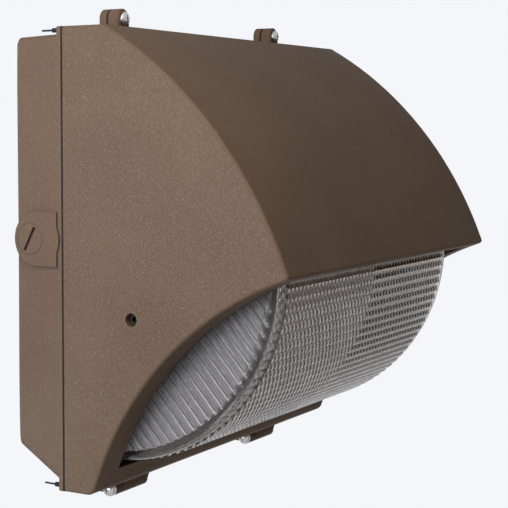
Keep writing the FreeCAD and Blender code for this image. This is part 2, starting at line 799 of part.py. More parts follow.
def top_screw(x):
    """A captive screw of the door; its neck is grooved for the retaining ring."""
    face = door_back - ear_depth_door
    reach = ear_depth_door + gasket_thick + top_screw_bite
    return screw((x, face, ear_z), (0, -1, 0), reach, top_screw_radius, top_screw_head_radius, top_screw_head_height)


def top_screw_ring(x):
    """The ring that keeps a top screw in the door."""
    back = door_back - 0.4
    return tube(top_screw_radius + ring_width, top_screw_radius + running_gap,
                (x, back - ring_thick, ear_z), (x, back, ear_z))


# ---------------------------------------------------------------- conduit plugs
def conduit_plug(side):
    """A slotted, headless plug in a conduit hole."""
    face = half_w + hub_proud
    plug = rod(plug_radius, (-face, -plug_depth, plug_height), (-face + plug_length, -plug_depth, plug_height))
    rim = [e for e in plug.Edges if abs(e.CenterOfMass.x + face) < 0.01]
    plug = plug.makeChamfer(0.8, rim)
    slot = box((-face - 1, -face + plug_slot_depth), (-BIG, BIG), (-plug_slot_width / 2, plug_slot_width / 2))
    slot.rotate(V(0, 0, 0), X_AXIS, -62)
    slot.translate(V(0, -plug_depth, plug_height))
    plug = plug.cut(slot.common(rod(plug_radius * 0.84, (-face - 1, -plug_depth, plug_height),
                                    (-face + 5, -plug_depth, plug_height))))
    return plug if side < 0 else mirrored(plug)


# ---------------------------------------------------------------- lamp and its holder
def bulb_profile(start, shrink):
    """(x, radius) down the bulb: neck, cone, belly and a crown in short cones."""
    neck = base_radius - 1.6 - shrink
    belly = lamp_radius - shrink
    shoulder = lamp_left + base_length + 6
    crown = lamp_left + lamp_length - lamp_radius
    points = [(start, neck), (shoulder, neck), (crown - 75, belly * 0.93), (crown - 30, belly)]
    points += [(crown + belly * math.sin(a), belly * math.cos(a)) for a in [math.radians(30 * i) for i in range(4)]]
    return points


def lamp_envelope():
    """The bulb, blown thin, open at its neck inside the base."""
    start = lamp_left + base_length - 10
    solids = []
    for shrink, x in ((0, start), (lamp_wall, start - 1)):
        points = bulb_profile(x, shrink)
        points = [V(x, 0, 0)] + [V(px, max(pr, 0), 0) for px, pr in points]
        face = Part.Face(Part.makePolygon(points + points[:1]))
        solids.append(face.revolve(V(0, 0, 0), X_AXIS, 360))
    bulb = solids[0].cut(solids[1])
    bulb.translate(V(0, -lamp_depth, lamp_height))
    return bulb


def lamp_axis(x):
    """The point of the lamp axis at x."""
    return (x, -lamp_depth, lamp_height)


def lamp_base():
    """The screw base: a brass cup with its centre contact."""
    cup = rod(base_radius, lamp_axis(lamp_left + 4), lamp_axis(lamp_left + base_length))
    room = rod(base_radius - 1.4, lamp_axis(lamp_left + 6), lamp_axis(lamp_left + base_length + 1))
    contact = rod(8.0, lamp_axis(lamp_left), lamp_axis(lamp_left + 5))
    return fuse([cup.cut(room), contact])


arc_tube_radius = 11.0
arc_tube_span = (-25.0, 60.0)
frame_offset = 15.0
wire_radius = 1.2


def arc_tube():
    """The discharge tube with its pinched ends."""
    x0, x1 = arc_tube_span
    middle = rod(arc_tube_radius, lamp_axis(x0 + 12), lamp_axis(x1 - 12))
    ends = [rod(4.0, lamp_axis(x0), lamp_axis(x0 + 13)), rod(4.0, lamp_axis(x1 - 13), lamp_axis(x1))]
    return fuse([middle] + ends)


def arc_tube_frame():
    """Stem and wires that carry the discharge tube from the base."""
    x0, x1 = arc_tube_span
    stem = rod(7.0, lamp_axis(lamp_left + 6), lamp_axis(lamp_left + base_length + 20))
    long_wire = prism(wire_radius, (lamp_left + base_length + 12, -lamp_depth, lamp_height + frame_offset),
                    (x1 + 8, -lamp_depth, lamp_height + frame_offset))
    foot = prism(wire_radius, lamp_axis(lamp_left + base_length + 14),
                 (lamp_left + base_length + 14, -lamp_depth, lamp_height + frame_offset))
    ties = []
    for x in (x0 + 4, x1 - 4):
        ties.append(prism(wire_radius, (x, -lamp_depth, lamp_height + 4.0),
                          (x, -lamp_depth, lamp_height + frame_offset)))
    return fuse([stem, long_wire, foot] + ties)


def socket_mouth():
    """X of the open end of the lamp holder."""
    return lamp_left + base_length + 2


def lamp_socket():
    """The porcelain lamp holder."""
    mouth = socket_mouth()
    back = mouth - socket_length
    body = rod(socket_radius, lamp_axis(back), lamp_axis(mouth))
    body = body.makeChamfer(2.0, [e for e in body.Edges if e.BoundBox.XLength < 0.01])
    bore = rod(base_radius + socket_play + shell_thick, lamp_axis(lamp_left - 4), lamp_axis(mouth + 1))
    pads = box((back, back + 14), (-lamp_depth - socket_radius - 6, -lamp_depth + socket_radius + 6),
               (lamp_height - 9, lamp_height + 9))
    holes = [small_hole((back - 1, y, lamp_height), (back + 15, y, lamp_height)) for y in socket_screw_depths()]
    return fuse([body, pads]).cut(Part.makeCompound([bore] + holes))


def socket_screw_depths():
    """Y of the two screws that hold the lamp holder on its bracket."""
    return [-lamp_depth - socket_radius - 2, -lamp_depth + socket_radius + 2]


def socket_shell():
    """The threaded brass shell and centre contact inside the lamp holder."""
    inner = base_radius + socket_play
    sleeve = tube(inner + shell_thick, inner, lamp_axis(lamp_left - 2.5), lamp_axis(socket_mouth() - 3))
    floor = rod(inner + shell_thick, lamp_axis(lamp_left - 4), lamp_axis(lamp_left - 2.5))
    contact = rod(5.0, lamp_axis(lamp_left - 4), lamp_axis(lamp_left - seat_gap))
    return fuse([sleeve, floor, contact])


def socket_bracket():
    """The folded steel bracket from the housing posts to the lamp holder."""
    face = socket_mouth() - socket_length
    foot_z = bracket_screw_heights[0] - 9
    head_z = bracket_screw_heights[1] + 9
    arm = box((face - 2, face), (-lamp_depth - socket_radius - 8, -bracket_stand), (foot_z, head_z))
    foot = box((face - 2, face + 20), (-bracket_stand - 2, -bracket_stand), (foot_z, head_z))
    plate = fuse([arm, foot])
    holes = [small_hole((face - 3, y, lamp_height), (face + 3, y, lamp_height)) for y in socket_screw_depths()]
    for z in bracket_screw_heights:
        holes.append(small_hole((bracket_screw_x, 0, z), (bracket_screw_x, -bracket_stand - 5, z)))
    return plate.cut(Part.makeCompound(holes))


def socket_screws():
    """Screws of the lamp holder and of its bracket."""
    screws = []
    face = socket_mouth() - socket_length
    for y in socket_screw_depths():
        screws.append(small_screw((face - 2, y, lamp_height), (-1, 0, 0), 14))
    for z in bracket_screw_heights:
        screws.append(small_screw((bracket_screw_x, -bracket_stand - 2, z), (0, -1, 0), 2 + screw_bite))
    return Part.makeCompound(screws)


# ---------------------------------------------------------------- reflector
def lamp_above_rim():
    """How far the lamp axis stands above the seat plane of the glass."""
    return (-lamp_depth - rim_start[0]) * rim_n[0] + (lamp_height - rim_start[1]) * rim_n[1]


def lamp_along_rim():
    """How far down the seat plane the lamp axis lies."""
    return (-lamp_depth - rim_start[0]) * rim_u[0] + (lamp_height - rim_start[1]) * rim_u[1]


def reflector():
    """A round trough with closed ends; its mouth faces the glass."""
    centre = (-lamp_depth, lamp_height)
    half = trough_half_length
    mouth = mouth_above_rim
    above = rim_slab((-half, half), (-BIG, BIG), (mouth, BIG))
    block = bar_x(trough_radius, centre, -half, half).common(above)
    room = bar_x(trough_radius - sheet_thick, centre, -half + sheet_thick, half - sheet_thick)
    shell = block.cut(room)
    drop = lamp_above_rim() - mouth
    reach = math.sqrt(trough_radius ** 2 - drop ** 2)
    middle = lamp_along_rim()
    sheet = (mouth, mouth + sheet_thick)
    front = rim_slab((-half, half), (middle - reach - trough_front_flange, middle - reach + 1), sheet)
    back = rim_slab((-half, half), (middle + reach - 1, middle + reach + trough_back_flange), sheet)
    holes = [rod(socket_radius + 4, lamp_axis(-half - 2), lamp_axis(-half + 2))]
    for x in (-pedestal_span, pedestal_span):
        holes.append(small_hole((x, -lamp_depth, lamp_height), (x, 0, lamp_height)))
    return fuse([shell, front, back]).cut(Part.makeCompound(holes))


def reflector_screws():
    """Screws from inside the trough into the saddles."""
    face = -lamp_depth + trough_radius - sheet_thick - 0.2
    return Part.makeCompound([small_screw((x, face, lamp_height), (0, -1, 0), sheet_thick + screw_bite)
                              for x in (-pedestal_span, pedestal_span)])


# ---------------------------------------------------------------- gear tray and gear
tray_face = -tray_stand - tray_thick


def gear_tray():
    """The steel plate that carries the gear."""
    plate = box((-tray_half_width, tray_half_width), (tray_face, -tray_stand), (tray_foot, tray_head))
    plate = round_edges(plate, 8.0, lambda e: e.BoundBox.YLength > 1)
    places = tray_screw_places() + bolt_places() + strap_screw_places()
    holes = [small_hole((x, 0, z), (x, -30, z)) for x, z in places]
    holes.append(rod(4.0, (ignitor_centre[0], 0, ignitor_centre[1]), (ignitor_centre[0], -30, ignitor_centre[1])))
    return plate.cut(Part.makeCompound(holes))


def tray_screws():
    """The four screws of the tray."""
    return Part.makeCompound([small_screw((x, tray_face, z), (0, -1, 0), tray_thick + screw_bite)
                              for x, z in tray_screw_places()])


def core_span():
    """The ballast core's three spans."""
    x, y, z = core_size
    return ((core_centre_x - x / 2, core_centre_x + x / 2), (tray_face - y, tray_face),
            (gear_centre_z - z / 2, gear_centre_z + z / 2))


def bolt_places():
    """(x, z) of the four bolts through the corners of the core."""
    span = core_span()
    return [(x, z) for x in (span[0][0] + 8, span[0][1] - 8) for z in (span[2][0] + 8, span[2][1] - 8)]


def ballast_core():
    """The laminated steel core."""
    block = box(*core_span())
    holes = [small_hole((x, 0, z), (x, -BIG, z), small_screw_radius + 0.2) for x, z in bolt_places()]
    return block.cut(Part.makeCompound(holes))


def ballast_coils():
    """The winding where it stands out above and below the core."""
    span = core_span()
    middle = (span[1][0] + span[1][1]) / 2
    wound = box((core_centre_x - coil_width / 2, core_centre_x + coil_width / 2),
                (middle - coil_depth / 2, middle + coil_depth / 2),
                (span[2][0] - coil_overhang, span[2][1] + coil_overhang))
    wound = round_edges(wound, 8.0, lambda e: e.BoundBox.ZLength < 1)
    return wound.cut(box(*core_span()))


def ballast_bolts():
    """Bolts that clamp the core to the tray."""
    face = core_span()[1][0]
    return Part.makeCompound([small_screw((x, face, z), (0, -1, 0), core_size[1] + tray_thick + 4)
                              for x, z in bolt_places()])


def capacitor():
    """The oval can with two terminals."""
    wide, deep, tall = can_size
    y = tray_face - deep / 2
    z0, z1 = gear_centre_z - tall / 2, gear_centre_z + tall / 2
    run = (wide - deep) / 2
    can = fuse([rod(deep / 2, (can_centre_x - run, y, z0), (can_centre_x - run, y, z1)),
                rod(deep / 2, (can_centre_x + run, y, z0), (can_centre_x + run, y, z1)),
                box((can_centre_x - run, can_centre_x + run), (y - deep / 2, y + deep / 2), (z0, z1))])
    tabs = [box((x - 3, x + 3), (y - 0.5, y + 0.5), (z1 - 1, z1 + 8))
            for x in (can_centre_x - 12, can_centre_x + 12)]
    return fuse([can] + tabs)


def capacitor_strap():
    """The strap over the can, with feet on the tray."""
    wide, deep = can_size[:2]
    y = tray_face - deep / 2
    z = (gear_centre_z - strap_width / 2, gear_centre_z + strap_width / 2)
    run = (wide - deep) / 2
    def band(radius):
        ends = [can_centre_x - run, can_centre_x + run]
        return fuse([rod(radius, (x, y, z[0]), (x, y, z[1])) for x in ends]
                    + [box((can_centre_x - run, can_centre_x + run), (y - radius, y + radius), z),
                       box((can_centre_x - run - radius, can_centre_x + run + radius), (y, tray_face), z)])
    inner = deep / 2 + 0.1
    loop = band(inner + strap_thick).cut(band(inner)).common(box((-BIG, BIG), (-BIG, tray_face), (-BIG, BIG)))
    feet = []
    for side in (-1, 1):
        edge = can_centre_x + side * (run + inner)
        feet.append(box((edge, edge + side * 14), (tray_face - strap_thick, tray_face), z))
    strap = fuse([loop] + feet)
    holes = [small_hole((x, 0, h), (x, -40, h)) for x, h in strap_screw_places()]
    return strap.cut(Part.makeCompound(holes))


def strap_screw_places():
    """(x, z) of the strap's two screws."""
    reach = can_size[0] / 2 + 8.5
    return [(can_centre_x - reach, gear_centre_z), (can_centre_x + reach, gear_centre_z)]


def strap_screws():
    """The strap's screws."""
    return Part.makeCompound([small_screw((x, tray_face - strap_thick, z), (0, -1, 0), strap_thick + tray_thick + 3)
                              for x, z in strap_screw_places()])


def ignitor():
    """The potted ignitor can on its stud."""
    x, z = ignitor_centre
    can = rod(ignitor_radius, (x, tray_face, z), (x, tray_face - ignitor_length, z))
    top_edges = [e for e in can.Edges if e.BoundBox.YLength < 0.01 and e.BoundBox.YMax < tray_face - 5]
    can = can.makeChamfer(2.0, top_edges)
    stud = rod(3.9, (x, tray_face - 1, z), (x, -tray_stand + 6.5, z))
    return fuse([can, stud])


def ignitor_nut():
    """The nut behind the tray."""
    x, z = ignitor_centre
    corners = [V(x + 7.5 * math.cos(math.radians(60 * i)), -tray_stand, z + 7.5 * math.sin(math.radians(60 * i)))
               for i in range(7)]
    nut = Part.Face(Part.makePolygon(corners)).extrude(V(0, 5.0, 0))
    return nut.cut(rod(3.9 + running_gap, (x, 0, z), (x, -30, z)))


def terminal_block():
    """A three-way supply block."""
    x, z = block_centre
    wide, deep, tall = block_size
    block = box((x - wide / 2, x + wide / 2), (tray_face - deep, tray_face), (z - tall / 2, z + tall / 2))
    ways = []
    for i in (-1, 0, 1):
        cx = x + i * wide / 3
        ways.append(small_hole((cx, tray_face - deep - 1, z), (cx, tray_face - deep + 9, z), clamp_radius + 0.1))
        ways.append(small_hole((cx, tray_face - deep / 2, z - tall), (cx, tray_face - deep / 2, z - tall / 2 + 8),
                               lead_radius + 0.1))
    return block.cut(Part.makeCompound(ways))


def terminal_screws():
    """The clamp screws of the supply block."""
    x, z = block_centre
    wide, deep = block_size[:2]
    face = tray_face - deep + 9
    steps = [i * wide / 3 for i in (-1, 0, 1)]
    return Part.makeCompound([prism(clamp_radius, (x + d, face, z), (x + d, face - 6, z)) for d in steps])


def ground_screw():
    """The earth screw on its post."""
    x, z = ground_place
    return small_screw((x, -ground_stand, z), (0, -1, 0), screw_bite - 0.5)


def bent_path(points, bend):
    """Straight runs joined by arcs of one bend radius."""
    points = [V(*p) for p in points]
    edges = []
    last = points[0]
    for before, corner, after in zip(points, points[1:], points[2:]):
        a = (before - corner).normalize()
        b = (after - corner).normalize()
        half = a.getAngle(b) / 2
        back = bend / math.tan(half)
        start = corner + a * back
        end = corner + b * back
        middle = (a + b).normalize()
        crown = corner + middle * (bend / math.sin(half) - bend)
        edges.append(Part.LineSegment(last, start).toShape())
        edges.append(Part.Arc(start, crown, end).toShape())
        last = end
    edges.append(Part.LineSegment(last, points[-1]).toShape())
    return Part.Wire(edges)


def lamp_leads():
    """Two insulated leads from the lamp holder up to the supply block's side of the tray."""
    leads = []
    wide, deep, tall = block_size
    for i, step in ((-1, 0.0), (0, 7.0)):
        x = socket_mouth() - 42 + step
        top = tray_foot - 8 - step
        end_x = block_centre[0] + i * wide / 3
        route = [(x, -lamp_depth, lamp_height + socket_radius + seat_gap), (x, -lamp_depth, top),
                 (x, tray_face - deep / 2, top), (end_x, tray_face - deep / 2, top),
                 (end_x, tray_face - deep / 2, block_centre[1] - tall / 2 + 7)]
        path = bent_path(route, lead_bend if step == 0 else lead_bend - 2)
        ring = ring_of_points(lead_radius, V(*route[0]), Z_AXIS, 6)
        leads.append(path.makePipeShell([ring], True, False))
    return Part.makeCompound(leads)


# ---------------------------------------------------------------- export
def all_parts():
    """Every node's name and shape."""
    left, right = -ear_half_span, ear_half_span
    return {
        "rear_housing": rear_housing().cut(Part.makeCompound(tail_holes())),
        "door_gasket": door_gasket(),
        "gear_tray": gear_tray(),
        "tray_screws": tray_screws(),
        "ballast_core": ballast_core(),
        "ballast_coils": ballast_coils(),
        "ballast_bolts": ballast_bolts(),
        "capacitor": capacitor(),
        "capacitor_strap": capacitor_strap(),
        "strap_screws": strap_screws(),
        "ignitor": ignitor(),
        "ignitor_nut": ignitor_nut(),
        "terminal_block": terminal_block(),
        "terminal_screws": terminal_screws(),
        "ground_screw": ground_screw(),
        "reflector": reflector(),
        "reflector_screws": reflector_screws(),
        "socket_bracket": socket_bracket(),
        "socket_screws": socket_screws(),
        "lamp_socket": lamp_socket(),
        "socket_shell": socket_shell(),
        "lamp_leads": lamp_leads(),
        "door": door(),
        "glass_refractor": glass_refractor(),
        "glass_gasket": glass_gasket(),
        "glass_clips": glass_clips(),
        "clip_screws": clip_screws(),
        "side_screws": side_screws(),
        "hinge_screws": hinge_screws(),
        "hinge_washers": hinge_washers(),
        "top_screw_left": top_screw(left),
        "top_screw_right": top_screw(right),
        "top_screw_ring_left": top_screw_ring(left),
        "top_screw_ring_right": top_screw_ring(right),
        "conduit_plug_left": conduit_plug(-1),
        "conduit_plug_right": conduit_plug(1),
        "lamp_envelope": lamp_envelope(),
        "lamp_base": lamp_base(),
        "arc_tube": arc_tube(),
        "arc_tube_frame": arc_tube_frame(),
    }


os.makedirs("parts", exist_ok=True)
for node, shape in all_parts().items():
    solids = shape.Solids
    kept = solids[0] if len(solids) == 1 else Part.makeCompound(solids)
    kept.exportStep("parts/%s.step" % node)
    extent = kept.BoundBox
    print("%-22s solids %2d valid %s volume %9.0f x %.1f..%.1f y %.1f..%.1f z %.1f..%.1f" % (
        node, len(solids), kept.isValid(), kept.Volume, extent.XMin, extent.XMax,
        extent.YMin, extent.YMax, extent.ZMin, extent.ZMax))
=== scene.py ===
import json
import math

import bmesh
import bpy
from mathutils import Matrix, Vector


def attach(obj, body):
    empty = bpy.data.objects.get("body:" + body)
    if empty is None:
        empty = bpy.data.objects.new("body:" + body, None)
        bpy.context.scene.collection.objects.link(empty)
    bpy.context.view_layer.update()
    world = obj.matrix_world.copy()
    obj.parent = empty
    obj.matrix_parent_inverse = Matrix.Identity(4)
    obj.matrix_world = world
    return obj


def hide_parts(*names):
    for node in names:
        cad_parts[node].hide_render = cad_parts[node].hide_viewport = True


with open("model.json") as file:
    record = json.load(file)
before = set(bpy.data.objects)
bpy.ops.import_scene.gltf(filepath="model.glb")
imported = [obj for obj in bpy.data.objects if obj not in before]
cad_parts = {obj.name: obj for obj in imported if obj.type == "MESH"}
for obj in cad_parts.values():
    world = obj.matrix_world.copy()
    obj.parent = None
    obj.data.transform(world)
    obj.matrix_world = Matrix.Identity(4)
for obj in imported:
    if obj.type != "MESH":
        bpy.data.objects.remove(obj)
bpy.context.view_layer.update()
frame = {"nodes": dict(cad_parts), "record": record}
NODES = frame["nodes"]

# ---------------------------------------------------------------- sizes, in metres
MM = 0.001
GLASS_HALF = 173 * MM              # half width of the refractor's bowl
GLASS_RADIUS = 166 * MM
GLASS_FRONT = -236.5 * MM
GLASS_FOOT = -171.5 * MM
GLASS_WALL = 6 * MM
GLASS_TOP = 28 * MM                # where the front of the bowl begins, at the rim
GLASS_MIDDLE = (GLASS_FRONT + GLASS_RADIUS, GLASS_FOOT + GLASS_RADIUS)    # Y and Z of its round
PRISM_PITCH = 8.5 * MM             # of the prisms across the front, and of the ribs on the ends
RIB_SLANT = math.radians(48)       # of the ribs, below the horizon
RIB_BORDER = 11 * MM               # plain glass around them
WIDE_FLUTE = 6.5 * MM              # pitch of the upright flutes, left of the middle
NARROW_FLUTE = 4.7 * MM            # and right of it
FLUTE_GAP = 0.2 * MM               # between the flutes and the wall of the bowl
LAMP_AXIS = (-116 * MM, 0.0)       # Y and Z
BULB_START = -147 * MM             # along X, from the base to the crown
BULB_SHOULDER = -132 * MM
BULB_CROWN = 56 * MM
BULB_NECK = 17.9 * MM              # radii
BULB_BELLY = 58 * MM
BULB_WALL = 1.4 * MM
SWELL_STEPS = 16                   # points of the side between shoulder and crown
SWELL_POWER = 1.15                 # above 1 the bulb widens later
CROWN_STEPS = 14                   # points of the quarter circle that closes the bulb
FLOOR_HEIGHT = -0.55
FLOOR_REACH = 6.0
DOME_SPREAD = 1.12                 # a screw's head is cut from a dome that is wider by this
CAMERA_PLACE = (-1.1161, -0.7531, 0.1076)
CAMERA_AIM = (0.8668, 0.4966, -0.0456)
CAMERA_LENS = 98.75
CAMERA_SHIFT = -0.12
AMBIENT = 0.2                      # share of the sky's tone that falls on the object
SKY = (0.905, 0.921, 0.947)        # tone of floor and background


# ---------------------------------------------------------------- materials
class Look:
    """A material with its Principled shader and short ways to add nodes."""

    def __init__(self, name, color, roughness, metallic=0.0, **sockets):
        self.material = bpy.data.materials.new(name)
        self.material.use_nodes = True
        self.tree = self.material.node_tree
        self.shader = self.tree.nodes["Principled BSDF"]
        self.shader.inputs["Base Color"].default_value = (*color, 1)
        self.shader.inputs["Roughness"].default_value = roughness
        self.shader.inputs["Metallic"].default_value = metallic
        for key, value in sockets.items():
            self.shader.inputs[key.replace("_", " ")].default_value = value
        self.place = self.add("ShaderNodeTexCoord").outputs["Object"]

    def add(self, kind, inputs=None, **settings):
        node = self.tree.nodes.new(kind)
        for key, value in settings.items():
            setattr(node, key, value)
        for key, value in (inputs or {}).items():
            if isinstance(value, bpy.types.NodeSocket):
                self.tree.links.new(value, node.inputs[key])
            else:
                node.inputs[key].default_value = value
        return node

    def stretched(self, scale):
        return self.add("ShaderNodeMapping", {"Vector": self.place, "Scale": scale}).outputs[0]

    def noise(self, scale, detail=3.0, vector=None):
        inputs = {"Vector": vector or self.place, "Scale": scale, "Detail": detail}
        return self.add("ShaderNodeTexNoise", inputs).outputs["Fac"]

    def bands(self, direction, scale, distortion):
        inputs = {"Vector": self.place, "Scale": scale, "Distortion": distortion, "Detail": 1.0}
        return self.add("ShaderNodeTexWave", inputs, bands_direction=direction).outputs["Fac"]

    def math(self, operation, *values):
        return self.add("ShaderNodeMath", dict(enumerate(values)), operation=operation).outputs[0]

    def product(self, first, *others):
        for other in others:
            first = self.math("MULTIPLY", first, other)
        return first

    def wave(self, value, pitch):
        """0 at every whole pitch, 0.5 halfway between."""
        return self.math("PINGPONG", self.math("DIVIDE", value, pitch), 0.5)

    def spread(self, value, low, high, out_low=0.0, out_high=1.0):
        node = self.add("ShaderNodeMapRange", {"Value": value, "From Min": low, "From Max": high,
                                               "To Min": out_low, "To Max": out_high})
        return node.outputs[0]

    def mix(self, fac, a, b):
        """A colour between a and b, which go into the node's inputs 6 and 7."""
        node = self.add("ShaderNodeMix", data_type="RGBA")
        for key, value in ((0, fac), (6, a), (7, b)):
            if isinstance(value, bpy.types.NodeSocket):
                self.tree.links.new(value, node.inputs[key])
            else:
                node.inputs[key].default_value = value if key == 0 else (*value, 1)
        return node.outputs[2]

    def drive(self, socket, value):
        self.tree.links.new(value, self.shader.inputs[socket])

    def clouded(self, scale, dark, light):
        """A base colour that drifts between two tones."""
        self.drive("Base Color", self.mix(self.spread(self.noise(scale), 0.3, 0.7), dark, light))

    def bump(self, height, distance, strength=1.0):
        node = self.add("ShaderNodeBump", {"Height": height, "Distance": distance, "Strength": strength})
        self.drive("Normal", node.outputs[0])


def shade(color, share):
    """The colour made darker, or lighter by a share above 1."""
    return tuple(c * share for c in color)


def bronze_powder_coat():
    look = Look("bronze_powder_coat", (0.097, 0.063, 0.041), 0.5, Specular_IOR_Level=0.015)
    cloud = look.noise(9.0, 4.0)
    # Fine flecks of lighter base colour: painted glint of the coat's metallic flakes.
    glint_noise = look.noise(2300.0, 1.0)
    bright = look.spread(glint_noise, 0.62, 0.80)
    base = look.mix(look.spread(cloud, 0.35, 0.65), (0.088, 0.055, 0.036), (0.101, 0.065, 0.042))
    look.drive("Base Color", look.mix(bright, base, (0.28, 0.25, 0.23)))
    look.drive("Roughness", look.spread(look.noise(260.0, 2.0), 0.3, 0.7, 0.42, 0.54))
    look.bump(look.noise(620.0, 2.0), 0.00012, 0.5)
    return look.material


def plated_metal(name="zinc_plate", color=(0.56, 0.55, 0.53), roughness=0.33):
    """Metal with fine streaks along Z."""
    look = Look(name, color, roughness, 1.0)
    streak = look.noise(240.0, 3.0, look.stretched((1, 1, 9)))
    look.clouded(30.0, shade(color, 0.78), color)
    look.drive("Roughness", look.spread(streak, 0.3, 0.7, roughness - 0.08, roughness + 0.12))
    look.bump(streak, 0.00004, 0.4)
    return look.material


def silicone():
    black = (0.020, 0.017, 0.018)
    look = Look("black_silicone", black, 0.7, Specular_IOR_Level=0.04)
    look.clouded(60.0, shade(black, 0.8), black)
    look.bump(look.noise(900.0, 2.0), 0.00008, 0.5)
    return look.material


def way_down(look, depth, height):
    """Length along the front of the bowl from its rim: straight down at first, then round the foot."""
    middle_y, middle_z = GLASS_MIDDLE
    drop = look.math("SUBTRACT", GLASS_TOP, look.math("MAXIMUM", height, middle_z))
    below = look.math("SUBTRACT", middle_z, height)
    turn = look.math("ARCTAN2", below, look.math("SUBTRACT", middle_y, depth))
    return look.math("ADD", drop, look.product(look.math("MAXIMUM", turn, 0.0), GLASS_RADIUS))


def rib_valleys(look, depth, height):
    """Two shares: the ribbed part of an end, and the lines between its ribs, where shade is painted."""
    back = look.math("SUBTRACT", depth, GLASS_MIDDLE[0])
    down = look.math("SUBTRACT", height, GLASS_MIDDLE[1])
    below = look.math("MINIMUM", down, 0.0)
    sine, cosine = math.sin(RIB_SLANT), math.cos(RIB_SLANT)
    offset = look.math("SUBTRACT", look.product(back, sine), look.product(down, cosine))
    reach = look.math("SQRT", look.math("ADD", look.product(back, back), look.product(below, below)))
    ribbed_radius = GLASS_RADIUS - RIB_BORDER
    ribbed = look.spread(reach, ribbed_radius + MM, ribbed_radius)
    return ribbed, look.product(look.spread(look.wave(offset, PRISM_PITCH), 0.33, 0.43), ribbed)


def pressed_glass(name="pressed_glass", front=(0.62, 0.51, 0.43), ends=(0.97, 0.92, 0.93)):
    """Brownish across the front, darker there than at the paler ends: painted shade on the front. Painted
    shade in the front's grooves, painted light stripes right of the middle, and painted shade in the lines
    between the ribs of the ends.
    """
    look = Look(name, front, 0.06, Transmission_Weight=1.0, IOR=1.5, Specular_Tint=(0.95, 0.85, 0.78, 1))
    across, depth, height = look.add("ShaderNodeSeparateXYZ", {0: look.place}).outputs
    side = look.math("ABSOLUTE", across)
    at_end = look.spread(side, GLASS_HALF - 14 * MM, GLASS_HALF - 6 * MM)
    on_front = look.math("SUBTRACT", 1.0, at_end)
    right = look.spread(across, MM, 3 * MM)
    run = way_down(look, depth, height)

    # painted shade in the grooves of the front: dark to the right and along the borders, paler towards the
    # foot, cut into dashes
    groove = look.spread(look.wave(run, PRISM_PITCH), 0.33, 0.24)
    border = look.spread(side, GLASS_HALF - 17.5 * MM, GLASS_HALF - 16.5 * MM)
    strength = look.math("MAXIMUM", look.spread(right, 0.0, 1.0, 0.5, 1.0), border)
    fading = look.spread(run, 130 * MM, 230 * MM, 1.0, 0.35)
    dash = look.spread(look.wave(across, WIDE_FLUTE), 0.14, 0.26)
    painted_dark_bands = look.product(groove, strength, fading, look.spread(dash, 0.0, 1.0, 0.55, 1.0), on_front)

    haze = look.noise(90.0, 3.0)
    # painted light: stripes in lighter copies of the front's colour, right of the middle
    bright = tuple(min(0.97, c) for c in shade(front, 1.6))
    painted_light_stripes = look.mix(dash, bright, shade(front, 1.25))
    front_with_light_stripes = look.mix(right, front, painted_light_stripes)
    # darker towards the foot
    darker_towards_foot = look.mix(look.spread(run, 80 * MM, 240 * MM, 0.0, 0.85), front_with_light_stripes, (0.28, 0.24, 0.22))
    # painted shade: the colour goes nearly black in the grooves
    with_painted_bands = look.mix(painted_dark_bands, darker_towards_foot, shade(front, 0.02))
    ribbed, valley_shade = rib_valleys(look, depth, height)
    ribbed = look.product(at_end, ribbed)
    valley_shade = look.product(at_end, valley_shade)
    # painted shade in the lines between the ribs of the ends
    look.drive("Base Color", look.mix(at_end, with_painted_bands, look.mix(valley_shade, ends, shade(ends, 0.08))))
    milky_and_shaded_lines = look.math("ADD", look.product(ribbed, 0.07), look.product(valley_shade, 0.6))
    # less clear where shade is painted, so its dark colour shows, and a little cloudy across the ribs
    look.drive("Transmission Weight", look.math("SUBTRACT", look.math("SUBTRACT", 1.0, painted_dark_bands), milky_and_shaded_lines))
    look.drive("Specular IOR Level", look.spread(painted_dark_bands, 0.0, 1.0, 0.5, 0.02))
    soft = look.product(at_end, 0.13)
    look.drive("Roughness", look.math("ADD", look.spread(haze, 0.3, 0.7, 0.04, 0.10), soft))

    flute = look.wave(across, look.spread(right, 0.0, 1.0, WIDE_FLUTE, NARROW_FLUTE))
    look.bump(look.product(flute, on_front, look.spread(right, 0.0, 1.0, 1.0, 0.22)), 2.8 * MM)
    return look.material


def blown_glass():
    look = Look("blown_glass", (0.97, 0.98, 0.98), 0.02, Transmission_Weight=1.0, IOR=1.45)
    look.drive("Roughness", look.spread(look.noise(20.0), 0.3, 0.7, 0.01, 0.05))
    return look.material


def quartz():
    look = Look("fused_quartz", (0.88, 0.88, 0.86), 0.25, Transmission_Weight=0.8, IOR=1.45)
    cloud = look.spread(look.noise(120.0), 0.4, 0.7)
    look.drive("Base Color", look.mix(cloud, (0.8, 0.79, 0.75), (0.92, 0.92, 0.9)))
    return look.material


def grained(name, color, roughness, scale, depth, metallic=0.0, contrast=0.75, shine=0.5):
    """Moulded, varnished or cast finishes: clouded colour and a fine grain."""
    look = Look(name, color, roughness, metallic, Specular_IOR_Level=shine)
    look.clouded(scale * 0.1, shade(color, contrast), color)
    wear = look.noise(scale * 0.5)
    look.drive("Roughness", look.spread(wear, 0.3, 0.7, roughness - 0.07, roughness + 0.1))
    look.bump(look.noise(scale, 2.0), depth, 0.5)
    return look.material


def wrapped_coil():
    look = Look("varnished_wrap", (0.42, 0.26, 0.09), 0.38)
    turns = look.bands("Z", 95.0, 0.6)
    look.drive("Base Color", look.mix(turns, (0.30, 0.17, 0.05), (0.50, 0.33, 0.13)))
    look.bump(turns, 0.0003, 0.6)
    return look.material


